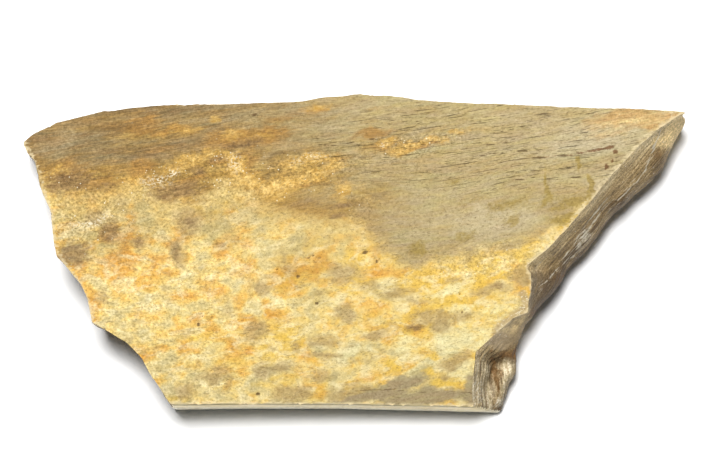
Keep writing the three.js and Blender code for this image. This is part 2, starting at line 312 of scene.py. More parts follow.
# Patches of each stain or finish: x, y, half length along the grain, half width across it, strength if not 1.
stainPatches = {
    "brown": [
        (-49, 3.1, 2, 2), (-43.2, 1.1, 1.2, 1.4, 0.9), (-56.4, -1.4, 3.2, 2.2),
        (-35.8, 11.5, 4.8, 1.7, 0.9), (-57.5, 13.6, 5, 2.2, 0.9), (-31.6, 15.6, 1.4, 0.9, 0.8),
        (-50.5, 12.6, 2.6, 0.8, 0.7), (-3, 8.6, 2.6, 0.7, 0.8), (-3.6, 6.4, 2, 0.5, 0.8),
        (-10, 9, 3.4, 1, 0.5), (11.6, -15.9, 2.2, 0.7, 0.8), (-27.4, 18.2, 1.8, 0.8, 0.7),
        (-11.2, -7.7, 1, 0.7, 0.6), (-27, 0.5, 1.3, 1, 0.6), (29, -7.4, 3, 0.5, 0.5),
        (-23, 21.4, 5, 0.9, 0.8), (-33, 5.4, 1.8, 2.4, 0.5), (-35.6, -1, 1.1, 1.8, 0.6),
    ],
    "grey": [
        (-52.6, 6.4, 1.4, 1.2, 0.9), (-35.4, -1.1, 1.3, 2.2, 0.9), (-13.6, -4.1, 1.3, 1.1, 0.7),
        (-2, -5.3, 3, 1.7), (-18.4, -8.1, 1.7, 1.2, 0.9), (-1.8, -13.5, 2, 1.5), (-19.4, -16.7, 2.2, 1.8),
        (-11.8, -19.7, 0.9, 1.2, 0.7), (-6.4, -18.6, 2.4, 0.7, 0.8), (-6, -20.9, 2.4, 0.6, 0.8),
        (3.8, -17.3, 1.8, 0.9, 0.9), (-28.2, -25.3, 2.8, 1.2), (-34, -28.5, 1.8, 1.5, 0.8),
        (-18, -24.1, 2, 1.3, 0.9), (-14.4, -23.9, 1.8, 0.9, 0.8), (-7, -25.5, 2.2, 0.8, 0.9),
        (-12.4, -29.1, 3.2, 1.4), (2.6, -7.7, 1.2, 1.2, 0.8), (14, -13.8, 2.8, 1.2, 0.9),
        (12, -10.6, 2, 0.7, 0.6), (8.4, -9.2, 3.4, 1.2, 0.7), (19.4, -6.9, 2.4, 0.6, 0.5),
        (27.6, -8.3, 3.2, 0.8, 0.9), (17, -14.6, 2.2, 1.8), (20.4, -14, 2.6, 1, 0.8),
        (33.2, -5.3, 2.2, 1.3, 1.2), (20, -22.3, 2.8, 1, 0.9), (18.4, -25.1, 1, 0.6, 0.7),
        (-33, 5, 2.2, 2.6, 0.9), (-50.4, -9.4, 1, 0.9, 0.8), (-24, -5, 1, 0.8, 0.4),
        (5.2, 1, 1.4, 2.2, 0.4), (-1, -28.6, 5, 1.3, 0.8), (-46.4, 9, 1.6, 1.6, 0.5),
        (-25.2, -12.6, 1.6, 1.2, 0.4),
    ],
    "orange": [
        (-14.6, -13.2, 3.6, 2.2, 0.9), (0, -6.6, 3.2, 2.4, 0.9), (-0.6, -1.6, 3, 2, 0.9),
        (-42.4, -13, 3, 2, 0.6), (13.4, -12.6, 3, 2, 0.9), (13.6, -7.4, 2.6, 2.2, 0.8),
        (-37.2, -4.7, 3.5, 0.6, 0.8), (-27, 0.3, 1.8, 1.5, 0.9), (-21.8, -5.1, 2.2, 1.8, 0.9),
        (-13, -5.6, 4.4, 2.4, 0.9), (-0.8, -0.4, 2.4, 1), (1.4, -4.5, 1.2, 1.6, 0.8),
        (-31.6, -9.5, 4.6, 1.2, 0.9), (-38.8, -11.1, 1.5, 2.2, 0.8), (-23, -11.9, 1.1, 2.4, 0.8),
        (-17.6, -11.1, 1.2, 1.4, 0.8), (-15.6, -14.3, 4, 1.8, 0.9), (-35.4, -14.5, 0.9, 1.3, 0.8),
        (-32, -14.5, 2, 1.3, 0.7), (-28.6, -14.1, 1.3, 0.8, 0.8), (-39, -19.7, 2.2, 0.6, 0.9),
        (-20.4, -20.3, 1.6, 1, 0.8), (-15, -20.9, 1, 1.5, 0.8), (-9.8, -20.1, 1.4, 2, 0.9),
        (-36.6, -23.7, 1.2, 0.8, 0.6), (-7, -27.7, 1.7, 1.3, 0.7), (-1, -23.7, 1.2, 1, 0.7),
        (-19.8, 2.1, 1.3, 1.2), (-44.8, 6.6, 1.2, 2, 0.9), (-45.6, 2.4, 1.4, 1.6, 0.8),
        (-47, -3.1, 3.8, 2.5, 0.9), (-52.4, -1.2, 1.6, 1.4, 0.6), (-57, 4.6, 2.4, 0.8, 0.7),
        (-53, 9.4, 1.6, 1.2, 0.7), (-54.8, -3.6, 1.6, 1, 0.8), (-41, -5.4, 2.4, 1.4, 0.8),
        (7, -3.1, 1, 1.5, 0.8), (13.6, -4.7, 2.8, 1.4, 0.7), (18.2, -5.4, 1.6, 1, 0.8),
        (26, -6.3, 3.8, 1.3, 0.8), (13.6, -9.4, 1.3, 1, 0.9), (23.4, -9.5, 0.9, 1.8, 0.8),
        (13.2, -14.3, 1.4, 1.4, 0.7), (11.6, -15.9, 2.4, 0.8, 0.9), (7.6, -16.5, 1.8, 1),
        (5.6, -17.5, 1, 1.4, 0.7), (16.2, -7.5, 0.8, 0.5, 0.8), (35, 0.4, 1.8, 1, 0.7),
        (-43.6, -21, 2.6, 1, 0.5), (-33, -20.5, 3.6, 2.6, 0.5), (-5, -14.6, 2.6, 1.6, 0.5),
        (-40, -26.5, 2.2, 1.2, 0.6), (-0.8, 0, 1.8, 0.7, 1.3), (-32, -9.4, 3.6, 0.8, 1.2),
        (-15.6, -14.6, 3, 1, 1.2), (-14.6, -12, 3, 1.4, 1.2), (-15, -18.6, 2.6, 1.4, 1.1),
        (0.8, -2.6, 3.4, 2, 1.3), (2, -6.8, 3, 1.6, 1.1), (12.6, -12.8, 2.8, 1.8, 1.2),
        (8.6, -5.4, 2.4, 1.2), (13.4, -8.6, 3.6, 1.2, 1.2), (-1.6, -3.4, 3, 1, 1.2), (-13, -9, 3, 1),
    ],
    "yellow": [
        (28.5, -4.8, 2.8, 1.3, 0.9), (14.5, -9.6, 2.4, 1, 0.8), (24, -8.4, 3, 0.9, 0.7),
        (-14.4, -16, 3, 2, 0.8), (22.4, -24.6, 3, 1.4, 0.7), (15.4, -30, 3, 1, 0.7),
        (-36.2, -30.4, 2.6, 1, 0.7), (-14.6, -19.2, 3.4, 2.6, 1.3), (-0.6, -2.6, 3.4, 2.8, 0.8),
        (13.4, -7.2, 3.8, 2.8, 1.4), (13.2, -13.2, 3, 2, 1.1), (0.4, -7.6, 3.2, 2, 0.9), (20, -13, 3, 1.6),
        (19.2, -4.6, 3.6, 1.8), (24.2, -2.8, 2.4, 1.8, 0.8), (26, -6, 4.2, 1.4, 0.8),
        (31, -1.7, 4.6, 1.3, 0.7), (35, 0.5, 2.4, 1.2, 0.9), (18.4, -11.1, 4.8, 1.6),
        (20.6, -16.5, 2.2, 0.9, 0.7), (10.6, -17.3, 1.2, 0.8, 0.8), (7.6, -23.3, 2.3, 1.1),
        (15, -21.9, 1.6, 0.7, 0.9), (15, -25.4, 1.6, 0.9), (17.6, -27.2, 2.2, 1.3, 1.3),
        (41.4, 5, 3, 1.2, 0.9), (31, 4.7, 1.5, 1, 0.7), (29, -12.5, 4, 3, 0.6), (-31.2, 7.7, 1.4, 1, 0.8),
        (-26.6, 8.6, 3, 1.6, 0.5), (9, -2, 1.6, 0.8, 0.7), (-13, -6.4, 4.6, 2, 0.5),
        (-30, -17.5, 4, 1, 0.5), (-16, -26.4, 4.4, 1.2, 0.6), (-24, -22.6, 3, 1.2, 0.5),
        (-6, 1, 2.4, 1.2, 0.4), (24, -12, 2.6, 2.2, 0.5), (-60.6, 8.6, 1.6, 3, 0.4),
    ],
    "pale": [
        (26.4, -19, 3, 2.6), (21, -12.6, 2.6, 1.8, 0.8), (28, -12.4, 2.4, 1.6, 0.6),
        (13.4, -23.6, 3.4, 1.2, 0.9), (-31.4, -2.5, 3.4, 1.6, 0.9), (-14.8, 0.3, 4.2, 1.8, 0.8),
        (-7.8, -10.7, 3.8, 1.8), (0.6, -20.3, 4.8, 1.5), (6.2, -8.6, 2.8, 1.8, 0.6),
        (-32.6, -12.1, 2.2, 1.2, 0.8), (-25.2, -9.1, 1.8, 2.6, 0.8), (-20, -11.9, 1.4, 1, 0.9),
        (-15.2, -11.1, 1.3, 1.1), (-13.2, -26.7, 2.4, 0.8, 0.8), (-38.8, 4.6, 4.4, 2, 0.9),
        (-57, 8.2, 4.4, 2.4, 0.9), (-55.6, 2.6, 3, 0.9, 0.9), (18.4, -8.7, 4.4, 0.8),
        (8.4, -8.9, 3.4, 1.5, 0.6), (19.6, -18.9, 4.6, 2, 0.9), (10.2, -18.7, 3, 1.5, 0.8),
        (21.2, -24.7, 2.8, 1.6, 0.9), (32.2, -10.9, 2.6, 1.8, 0.8), (-2.6, -1.6, 1.8, 1.6, 0.9),
        (1.8, -1.8, 1.6, 1.4, 0.6), (-25, 5.6, 4, 2, 0.6), (-18, 5, 4, 1.6, 0.5), (-8, 4.2, 3.4, 1.2, 0.6),
        (-48.5, -12.5, 3.2, 2.6, 0.5), (-27, -29, 4, 0.8, 0.6), (-44, -9.4, 2.2, 1, 0.6),
        (27, -19.5, 2.8, 2.4, 0.6), (-51.8, -5.6, 1.2, 2.4, 0.6), (-22.8, -19.6, 1.4, 0.9, 0.5),
        (-42, -16, 3, 1.4, 0.5),
    ],
    "white stain": [
        (20, -18.2, 5, 2.6, 0.9), (26.6, -18.4, 2.4, 2.8, 0.9), (21, -12.4, 2.8, 1.2, 0.8),
        (18.4, -8.6, 3.8, 0.6, 0.9), (29.6, -12.6, 3.6, 1.6, 0.6), (11, -19.4, 3, 1.4, 0.8),
        (-1, -20.6, 4, 1.2, 0.7), (21.6, -24.2, 2.2, 1.4, 0.9), (2.6, -1.8, 1.6, 1.2, 0.6),
        (-15, -11, 1.4, 1, 0.7), (24, 1.6, 1.6, 1.4, 0.7), (13.6, -23.4, 3, 0.9, 0.7),
    ],
    "mauve": [
        (9.4, -26.8, 4.8, 1.3), (3, -29.8, 8, 1.3, 0.9), (14, -29.8, 9, 1.4), (23.6, -28, 1.8, 3),
        (26, -24.6, 0.8, 2.4, 0.8),
    ],
    "gold": [  # granular, over the weathered part
        (-37, 16.6, 2.4, 1.2, 0.8), (-33.6, 17.9, 3, 1.4), (-29.4, 19.4, 2.6, 1.2), (-26, 19, 1.9, 1.4),
        (-23.8, 16, 1.8, 2.4, 1.2), (-21.6, 13.6, 2.6, 1.5, 1.3), (-16, 12.6, 4.8, 1.7, 1.3),
        (-9.6, 14.4, 4.4, 1.4), (-9.6, 17.8, 4.2, 1.4), (-4.4, 16.2, 2, 1.3), (-3, 11.3, 1.5, 1.5, 0.9),
        (-15, 10.4, 3.6, 1, 0.7), (6.2, 21.7, 1.8, 1), (9.4, 20.2, 2.4, 0.8, 0.9),
        (13.6, 21.4, 4.6, 0.7, 0.9), (18, 21.6, 1.6, 0.5, 0.8), (20.8, 23.9, 2.2, 0.7, 0.8),
        (-27.8, 26.4, 2, 0.8, 0.9), (-24.6, 23.2, 2.4, 0.8, 0.7), (-18.8, 22.9, 3, 0.8, 0.6),
        (-35, 24.4, 3.4, 0.9, 0.7), (-44.5, 12.8, 3.2, 1.3, 0.8), (-48.4, 10.6, 3.6, 1.4, 0.7),
        (-60, 15.4, 3, 0.9, 0.7), (-54, 15.2, 2.4, 0.6, 0.6), (57, 26.4, 6, 0.7, 0.6),
        (-7.8, 29.2, 3, 0.7, 0.7), (-1.6, 5, 2, 1, 0.6), (0.5, 1.6, 1.6, 1.2, 0.6),
        (-22, 10.6, 3.4, 1, 0.5),
    ],
    "amber": [  # translucent brown, over the weathered part
        (-42.4, 25.2, 3.2, 1.6, 0.8), (-37, 24.2, 4.2, 1, 0.8), (-42.6, 16.6, 2.4, 1.7, 0.9),
        (-27.4, 18, 2, 0.9), (-24.6, 22.6, 5, 1.4), (-18.4, 22.7, 5, 1.5), (-8.2, 28.6, 3.4, 0.9, 0.7),
        (3.8, 23.4, 3, 0.8, 0.9), (5.6, 21, 2.6, 1.2, 0.7), (14, 20.7, 5, 0.6, 0.8),
        (-12.6, 12.4, 7, 0.8, 0.7), (-22, 17.4, 2.4, 2.8, 0.6), (-52, 13.6, 3.4, 1, 0.8),
        (-58, 16, 4, 1.6, 0.6), (-44.6, 13.6, 2.6, 1.6, 0.6), (55, 27.4, 7, 0.7, 0.7),
        (60, 25.2, 5, 0.7, 0.6), (50.5, 26.4, 3, 0.7, 0.5), (-3.6, 18.2, 2, 1, 0.5),
        (-15.4, 26.4, 3.4, 0.8, 0.5), (-33, 13.6, 3.4, 0.7, 0.7), (-38.8, 20.2, 3.6, 0.8, 0.4),
    ],
    "mustard": [
        (44.4, 16.8, 0.45, 1.6, 1.2), (38.4, 12.4, 0.4, 3.2, 1.2), (47.3, 12.4, 0.5, 1.8, 1.3),
        (43.6, 9.6, 2.8, 1.1), (40.6, 8.2, 2, 0.8, 0.6), (46.8, 9.9, 1, 0.6, 0.8),
        (38.2, 9.2, 0.7, 0.8, 0.8), (33, 8, 3.6, 0.8, 0.4), (48.5, 8.6, 0.7, 0.5, 0.7),
        (31, 5.4, 1.5, 1.1, 0.8), (19.6, 13.3, 1.6, 0.7, 0.7), (30.4, 8.6, 3.6, 0.9, 0.7),
        (41.6, 5.6, 2.4, 0.9, 0.9), (21.8, 2.4, 1.5, 1, 0.7), (12.6, -0.6, 1.5, 1.3, 0.9),
        (24, 9.6, 3.6, 0.6, 0.5),
    ],
    "rust": [
        (48.6, 19.8, 1.9, 0.2, 1.2), (51, 20.3, 0.8, 0.3, 1.2), (52.1, 19.4, 0.45, 0.35, 1.2),
        (51.4, 17.5, 0.25, 0.35, 1.1), (50.3, 16.3, 0.32, 0.55, 1.2), (43.8, 18.9, 3.2, 0.2, 0.7),
        (37.5, 18.3, 3, 0.2, 0.6),
    ],
    "glow": [
        (-30, 15.5, 12, 4, 0.9), (-13, 14.5, 11, 4.2, 0.9), (-53, 13.6, 9, 2.6, 0.8),
        (-40, 23.6, 9, 2, 0.6), (-20, 24, 8, 1.6, 0.5), (6, 21, 6, 1.6, 0.5), (2, 10.6, 6, 2.4, 0.6),
        (-21, 22.8, 6, 1.4, 0.8),
    ],
    "dusk": [(-50, 5, 12, 7), (-11, -3, 9, 6, 0.6), (-26, 6, 12, 4.4, 0.8), (-34, -24, 10, 4, 0.2)],
    "peach": [
        (55, 26.4, 7.5, 1.3, 0.9), (60.6, 25.6, 4.6, 1.6), (64.4, 26.2, 2.4, 1.6, 1.2),
        (52, 23.6, 4, 0.8, 0.5),
    ],
    "ash": [
        (49, 22.5, 10, 3.6), (28, 4.6, 7, 3.2), (51, 12.4, 3.6, 2.6, 1.1), (61, 25.2, 3.6, 1.4),
        (-60, 22, 7, 2, 0.3),
    ],
    "pits": [
        (-31.2, -15.3, 0.5, 0.48), (-28.4, -13.9, 0.4, 0.36), (-11.4, -5.7, 0.55, 0.5),
        (-9.3, -1.9, 0.5, 0.28), (-8.3, -1.4, 0.55, 0.26), (-7.2, -2, 0.4, 0.28, 0.9),
        (-8.1, -2.9, 0.7, 0.22, 0.8), (-7.6, -11.1, 0.5, 0.45), (2, -0.9, 0.9, 0.4),
        (4.4, -2.7, 0.46, 0.42), (-19.4, -29, 0.55, 0.4), (21.4, -12.7, 0.4, 0.36),
        (-15.6, -4.3, 0.5, 0.32, 0.9), (-30.5, -13.6, 0.34, 0.3, 0.9), (-5, 2.2, 0.5, 0.3, 0.8),
        (24, 6, 0.4, 0.3, 0.9), (60.6, 23, 0.8, 0.7), (7, 25.5, 0.5, 0.3, 0.8), (21, -9.1, 0.35, 0.32, 0.9),
        (-20.4, 27.6, 0.8, 0.4, 0.9), (31.4, -3.9, 0.4, 0.3, 0.8), (-11, -2.3, 0.35, 0.3, 0.8),
        (15.2, 15.3, 0.5, 0.3, 0.8),
    ],
    "granular": [  # sugary crystals
        (-54, 6.5, 9, 6), (-40, 13.5, 9, 3, 0.8), (-28, 16.5, 8, 4.5), (-10, 15.5, 11, 3.6, 0.9),
        (-22, 11, 7, 2.6, 0.8), (12, 21, 10, 2, 0.8), (58, 26, 9, 2.6, 0.3), (-56, 14.5, 7, 2.5, 0.8),
        (26, -3, 13, 3, 0.6), (1, 8, 3.4, 3, 0.6),
    ],
    # where the painted glints gather
    "sparkle": [
        (-39.4, 13.6, 2.2, 0.8, 0.8), (-36.6, 15.4, 1.2, 0.6, 0.9), (5.4, 21.2, 0.8, 0.4, 0.5),
        (-24.6, 17.6, 1, 1.6, 0.6), (-53.6, 5.4, 3, 0.6, 0.8), (-9, 18.4, 3, 0.7, 0.5),
    ],
    "openings": [  # where the blood vessels lie open
        (26, 22.5, 22, 6), (8, 25, 14, 4, 0.7), (44, 18, 14, 5, 0.7), (0, 20, 9, 3, 0.7),
        (26, 14, 14, 3.4, 0.5), (-30, 24, 26, 5, 0.3),
    ],
    "laminated": [(25.4, -26.5, 2.6, 5), (31, -26.5, 2.8, 4.4)],  # from here on, on the breaks
    "facet": [(31, -15.6, 3.6, 2.2), (28.4, -17.6, 2.4, 1.4)],
    "white": [
        (46.6, 2.9, 1.4, 1.6), (45, 1.2, 1, 1.2, 0.9), (29.4, -30.6, 1.4, 1, 0.9), (24.6, -28, 1.4, 4, 0.6),
    ],
    "dark": [
        (38.6, -8, 5.5, 3.6, 1.3), (31.6, -21.6, 1.4, 1.8, 0.6), (33, -24.6, 0.9, 3, 0.5),
        (55, 9, 5, 2, 0.5), (36, -11.5, 2.4, 2.4, 0.8), (44, -0.5, 4, 2, 0.6), (28, -21.6, 1.5, 1.6, 0.7),
        (27.4, -25.6, 0.5, 4.5, 0.9),
    ],
    "blond": [
        (64.8, 25.8, 3, 1.8), (65, 23.4, 2.4, 2.4), (61.6, 22.2, 1.8, 1.4, 0.8), (33, -13.6, 3, 1.2, 0.6),
        (31, -16, 2.6, 1.2, 0.5),
    ],
    "hollow": [
        (28.2, -23.4, 0.5, 4, 0.8), (29, -26.4, 0.45, 2.4, 0.8), (31, -20.4, 1.7, 1.1, 0.9),
        (37.5, -12.5, 2.4, 1.2, 0.8), (61.5, 20, 1.2, 1.6, 0.5), (43.5, -5, 3.6, 0.8, 0.6),
    ],
}
straightPatches = ("brown", "pits", "rust")  # the others have their edges bent

# Lines of each stain or finish: a width and the points it runs through.
stainLines = {
    "streaks": [
        (0.8, [(-58.6, 2.4), (-54, 4.2), (-49.4, 7.4)]), (0.5, [(-58.2, -0.6), (-55, 0.4)]),
        (0.6, [(-42, 12), (-36, 14.6), (-31, 18.6)]),
    ],
    "creases": [(0.13, [(1, -28.2), (7, -28), (13, -28.5), (18.6, -28.2), (23.4, -28.7)])],
    "scar": [(1.2, [(28.6, -16.8), (31.5, -14), (34.8, -12)]), (0.9, [(33.6, -9.4), (35.3, -12.6)])],
    "cracks": [
        (0.32, [(32, 13.6), (36, 14.1), (40, 13.8), (45.6, 14.3)]), (0.32, [(31.2, 15), (37.6, 15.7)]),
        (0.32, [(25, 18.6), (29, 19.3), (34.6, 19.6)]), (0.3, [(31.6, 17.9), (38, 18.3), (47, 19.4)]),
        (0.3, [(21.4, 20.6), (27, 20.9), (32.4, 21.7)]), (0.28, [(28.4, 23.4), (34.2, 24.7)]),
        (0.32, [(-8.2, 21.2), (-4.4, 20.9), (0, 21.6), (3.8, 22.2)]), (0.28, [(6.6, 25.2), (16, 26.2)]),
        (0.28, [(-12.6, 21.8), (-7, 22.4)]),
    ],
    "arris": [
        (1.6, [(-66.2, 21), (-62.8, 17)]), (0.9, [(-62.8, 17), (-60, 2), (-56, -6), (-50, -18)]),
        (2.4, [(36, -4), (39, 0), (47, 8.5), (55, 18), (65.5, 27)]), (3.4, [(62.5, 23.5), (67, 27.5)]),
        (0.7, [(29, -16.5), (35.4, -12), (35.5, -5)]), (0.45, [(-37, -30.8), (24, -31)]),
    ],
    "ridge": [
        (0.26, [(62.1, 25.6), (60.7, 22), (59.4, 18.2), (58, 15.8)]),
        (0.18, [(58, 15.8), (56.6, 13.8), (54.6, 12), (52.4, 10.5), (50.4, 8.6), (48.4, 6.2), (45.5, 2.2)]),
        (0.16, [(50.6, 10.4), (46.6, 5.2), (44, 1.6), (41.4, -2.2)]),
        (0.14, [(44.4, -0.4), (39.9, -4.5), (36.4, -7.9)]),
    ],
    "fray": [(1.3, [(62, 25), (59.6, 17.8), (56, 12.4), (50.6, 8.4), (45.4, 2), (37, -8)])],
    "torn": [(7, [(37, -9), (48, 4), (66, 26)])],
}


def bentPoints(points):  # so that no patch keeps a plain oval edge
    seed_set(boneShape["bendSeed"])
    bent = [Vector(point) for point in points]
    for size, reach in ((4.2, 1.2), (1.3, 0.6)):
        bent = [point + noise_vector(point / size) * reach for point in bent]
    return np.array(bent)


def patchField(points, patches):
    field = np.zeros(len(points))
    turnX, turnY = math.cos(grainAngle), math.sin(grainAngle)
    for patch in patches:
        x, y, along, across, strength = (*patch, 1)[:5]
        dx, dy = points[:, 0] - x, points[:, 1] - y
        reach = np.hypot((dx * turnX + dy * turnY) / along, (dy * turnX - dx * turnY) / across)
        field = np.maximum(field, strength * np.clip(1.4 - reach * 0.8, 0, 1))
    return field


def lineField(points, lines, top):
    field = np.zeros(len(points))
    for width, path in lines:
        for (x0, y0), (x1, y1) in zip(path, path[1:]):
            dx, dy = x1 - x0, y1 - y0
            share = ((points[:, 0] - x0) * dx + (points[:, 1] - y0) * dy) / (dx * dx + dy * dy)
            share = np.clip(share, 0, 1)
            away = np.hypot(points[:, 0] - x0 - share * dx, points[:, 1] - y0 - share * dy)
            field = np.maximum(field, np.clip(1.5 - away / width, 0, top))
    return field


def storeFields(bone, rim):
    mesh = bone.data
    points = meshPoints(mesh)
    bent = bentPoints(points)
    x, y, z = points.T
    fields = {"rim": rim, "depth": outerHeight(x, y) - z, "cream": np.interp(x, *zip(*creamEdge)) - y}
    for name, patches in stainPatches.items():
        fields[name] = patchField(points if name in straightPatches else bent, patches)
    for name, lines in stainLines.items():
        place = (bent + points) / 2 if name == "ridge" else points
        fields[name] = lineField(place, lines, 1.5 if name == "cracks" else 1.0)
    normals = readMesh(mesh.polygons, "normal", 3)
    centres = readMesh(mesh.polygons, "center", 3) / mm
    faceRim = rim[readMesh(mesh.polygons, "vertices", 4, np.int32)].mean(axis=1)
    front = (normals[:, 1] < boneShape["frontTurn"]) & (centres[:, 1] < boneShape["frontFace"])
    front = front & (centres[:, 0] < boneShape["frontEnd"])
    kind = np.where(faceRim > 0, 1.0, 0.0)  # 0 outer surface, 1 broken, 2 sawn
    kind[front | (centres[:, 2] < boneShape["backFace"])] = 2.0
    for name, values in (*fields.items(), ("surfaceKind", kind)):
        field = mesh.attributes.new(name, "FLOAT", "FACE" if name == "surfaceKind" else "POINT")
        field.data.foreach_set("value", values.astype(np.float32))


# Relief, followed over the surface by geometry nodes.

reliefSizes = {
    "Fibre height": 0.10, "Fibre length": 8.0, "Fibre width": 1.0,
    "Swell height": 0.16, "Swell length": 22.0, "Swell width": 6.0,
    "Ledge height": 0.10, "Ledge spacing": 1.1, "Streak height": 0.10,
    "Lump height": 0.34, "Lump size": 3.4, "Pit depth": 0.40, "Sawn allowance": 0.30,
    "Seed": 4.0,
}
boneFinishes = ("Outer bone", "Broken bone", "Sawn bone")


def makeReliefTree():
    inputs = {"Geometry": "Geometry", **reliefSizes, **dict.fromkeys(boneFinishes, "Material")}
    tree, given = newGroup("boneRelief", "GeometryNodeTree", inputs, {"Geometry": "Geometry"})

    def read(kind):
        return wire(put(tree, "GeometryNodeInput" + kind).outputs[0])

    def field(name):
        made = put(tree, "GeometryNodeInputNamedAttribute", {"data_type": "FLOAT"}, {"Name": name})
        return wire(made.outputs["Attribute"])

    def swing(place, detail):
        return noise(place, 1.0, detail, 0.55, given["Seed"]) - 0.5

    normal = read("Normal")
    point = scaled(read("Position"), 1 / mm)
    grain = alongGrain(point)
    depth, kind = field("depth"), field("surfaceKind")

    fibres = swing(stretched(grain, given["Fibre length"], given["Fibre width"]), 3.0)
    swell = swing(stretched(grain, given["Swell length"], given["Swell width"]), 2.0)
    onTop = fibres * (given["Fibre height"] * 2.0) + swell * (given["Swell height"] * 2.0)
    onTop = onTop - ease(field("pits"), 0.2, 0.9) * given["Pit depth"]

    lumps = swing(stretched(point, given["Lump size"], given["Lump size"]), 3.0)
    bent = lumps * 0.8 + depth
    ledge = ease(calc("FRACT", bent / given["Ledge spacing"]), 0.0, 0.8) - 0.5
    x, y, _ = split(point)
    streaks = swing(joined(x / 6.0, y / 6.0, bent * 1.5), 3.0)
    layers = ledge * given["Ledge height"] + streaks * (given["Streak height"] * 2.0)
    steep = ease(split(normal)[2], 0.85, 0.45)  # layers show on steep faces only
    steep = steep * ease(field("torn"), 0.0, 0.6, 2.2, 1.0) * ease(field("facet"), 0.1, 0.7, 1.0, 0.15)
    onWall = lumps * (given["Lump height"] * 2.0) + layers * steep

    wall = ease(field("rim"), 0.0, 0.7)
    rise = after("ShaderNodeMix", {"data_type": "FLOAT"}, {0: wall, 2: onTop, 3: onWall})
    rise = rise * ease(kind, 1.0, 2.0, 1.0, 0.12)  # the saw left its faces nearly smooth
    rise = (rise + ease(kind, 1.0, 2.0) * given["Sawn allowance"]) * mm
    offset = scaled(normal, rise)
    made = after("GeometryNodeSetPosition", None, {"Geometry": given["Geometry"], "Offset": offset})
    x, y, z = split(read("Position"))
    level = joined(x, y, larger(z, 0.0))
    made = after("GeometryNodeSetPosition", None, {"Geometry": made, "Position": level})
    made = after("GeometryNodeRealizeInstances", None, {"Geometry": made})
    for index, name in enumerate(boneFinishes):
        chosen = after("FunctionNodeCompare", {"data_type": "FLOAT", "operation": "EQUAL"},
                       {"A": kind, "B": float(index), "Epsilon": 0.1})
        made = after("GeometryNodeSetMaterial", None,
                     {"Geometry": made, "Selection": chosen, "Material": given[name]})
    return finishGroup(tree, made)


def raiseRelief(bone, materials):
    tree = makeReliefTree()
    relief = bone.modifiers.new("relief", "NODES")
    relief.node_group = tree
    chosen = {**reliefSizes, **dict(zip(boneFinishes, materials))}
    for item in tree.interface.items_tree:
        if item.in_out == "INPUT" and item.name in chosen:
            relief[item.identifier] = chosen[item.name]
    bone.data = withModifiers(bone)
    bone.data.shade_smooth()
    bone.data.set_sharp_from_angle(angle=math.radians(boneShape["sharpAngle"]))


# Effects that the bone's materials share. Their Place input is in millimetres, X along the grain.

def makeFibreGrain():
    tree, given = newGroup("fibreGrain", "ShaderNodeTree",
                           {"Place": "Vector", "Length": 6.0, "Width": 0.4, "Seed": 0.0},
                           {"Fibres": "Float", "Fine fibres": "Float"})
    long = stretched(given["Place"], given["Length"], given["Width"])
    fine = vectorCalc("MULTIPLY", long, (3.4, 2.3, 2.3))
    fibres = noise(long, 1.0, 3.0, 0.6, given["Seed"], 0.4)
    return finishGroup(tree, fibres, noise(fine, 1.0, 1.0, 0.5, given["Seed"]))


def makeMottle():
    tree, given = newGroup("mineralMottle", "ShaderNodeTree", {
        "Place": "Vector", "Length": 8.0, "Width": 3.0, "Share": 0.4, "Softness": 0.08, "Seed": 0.0},
        {"Mask": "Float"})
    place = stretched(given["Place"], given["Length"], given["Width"])
    value = noise(place, 1.0, 3.0, 0.55, given["Seed"], 0.5)
    middle = given["Share"] * -0.36 + 0.68
    return finishGroup(tree, ease(value, middle - given["Softness"], middle + given["Softness"]))


def makeStainEdge():
    tree, given = newGroup("stainEdge", "ShaderNodeTree", {
        "Place": "Vector", "Field": 0.0, "Middle": 0.5, "Softness": 0.2, "Wander": 0.8,
        "Length": 3.0, "Width": 1.2, "Seed": 0.0}, {"Mask": "Float"})
    place = stretched(given["Place"], given["Length"], given["Width"])
    value = about(noise(place, 1.0, 4.0, 0.6, given["Seed"], 0.3), given["Wander"], given["Field"])
    low, high = given["Middle"] - given["Softness"], given["Middle"] + given["Softness"]
    return finishGroup(tree, ease(value, low, high))


def makeVesselOpenings():  # a long narrow noise leaves the bone open where it runs high
    tree, given = newGroup("vesselOpenings", "ShaderNodeTree", {
        "Place": "Vector", "Length": 5.0, "Width": 0.5, "Share": 0.4, "Seed": 0.0}, {"Mask": "Float"})
    place = stretched(given["Place"], given["Length"], given["Width"])
    gaps = noise(vectorCalc("MULTIPLY", place, (0.5, 0.2, 0.2)), 1.0, 2.0, 0.5, given["Seed"])
    value = about(gaps, 0.3, noise(place, 1.0, 1.0, 0.5, given["Seed"], 0.3))
    middle = given["Share"] * -0.2 + 0.78
    return finishGroup(tree, ease(value, middle - 0.03, middle + 0.05))


# the Glints output marks the specks that the materials paint pale as glints
def makeGranules():
    tree, given = newGroup("granules", "ShaderNodeTree",
                           {"Place": "Vector", "Size": 0.4, "Share": 0.1, "Seed": 0.0},
                           {"Grains": "Float", "Glints": "Float"})
    place = stretched(given["Place"], given["Size"], given["Size"])
    cells = after("ShaderNodeTexVoronoi", {"voronoi_dimensions": "4D", "feature": "F1"},
                  {"Vector": place, "W": given["Seed"], "Scale": 1.0}, "Color")
    shade, chance, _ = after("ShaderNodeSeparateColor", None, {0: cells}).socket.node.outputs
    body = ease(wire(cells.socket.node.outputs["Distance"]), 0.55, 0.3)
    return finishGroup(tree, wire(shade), body * calc("LESS_THAN", wire(chance), given["Share"]))


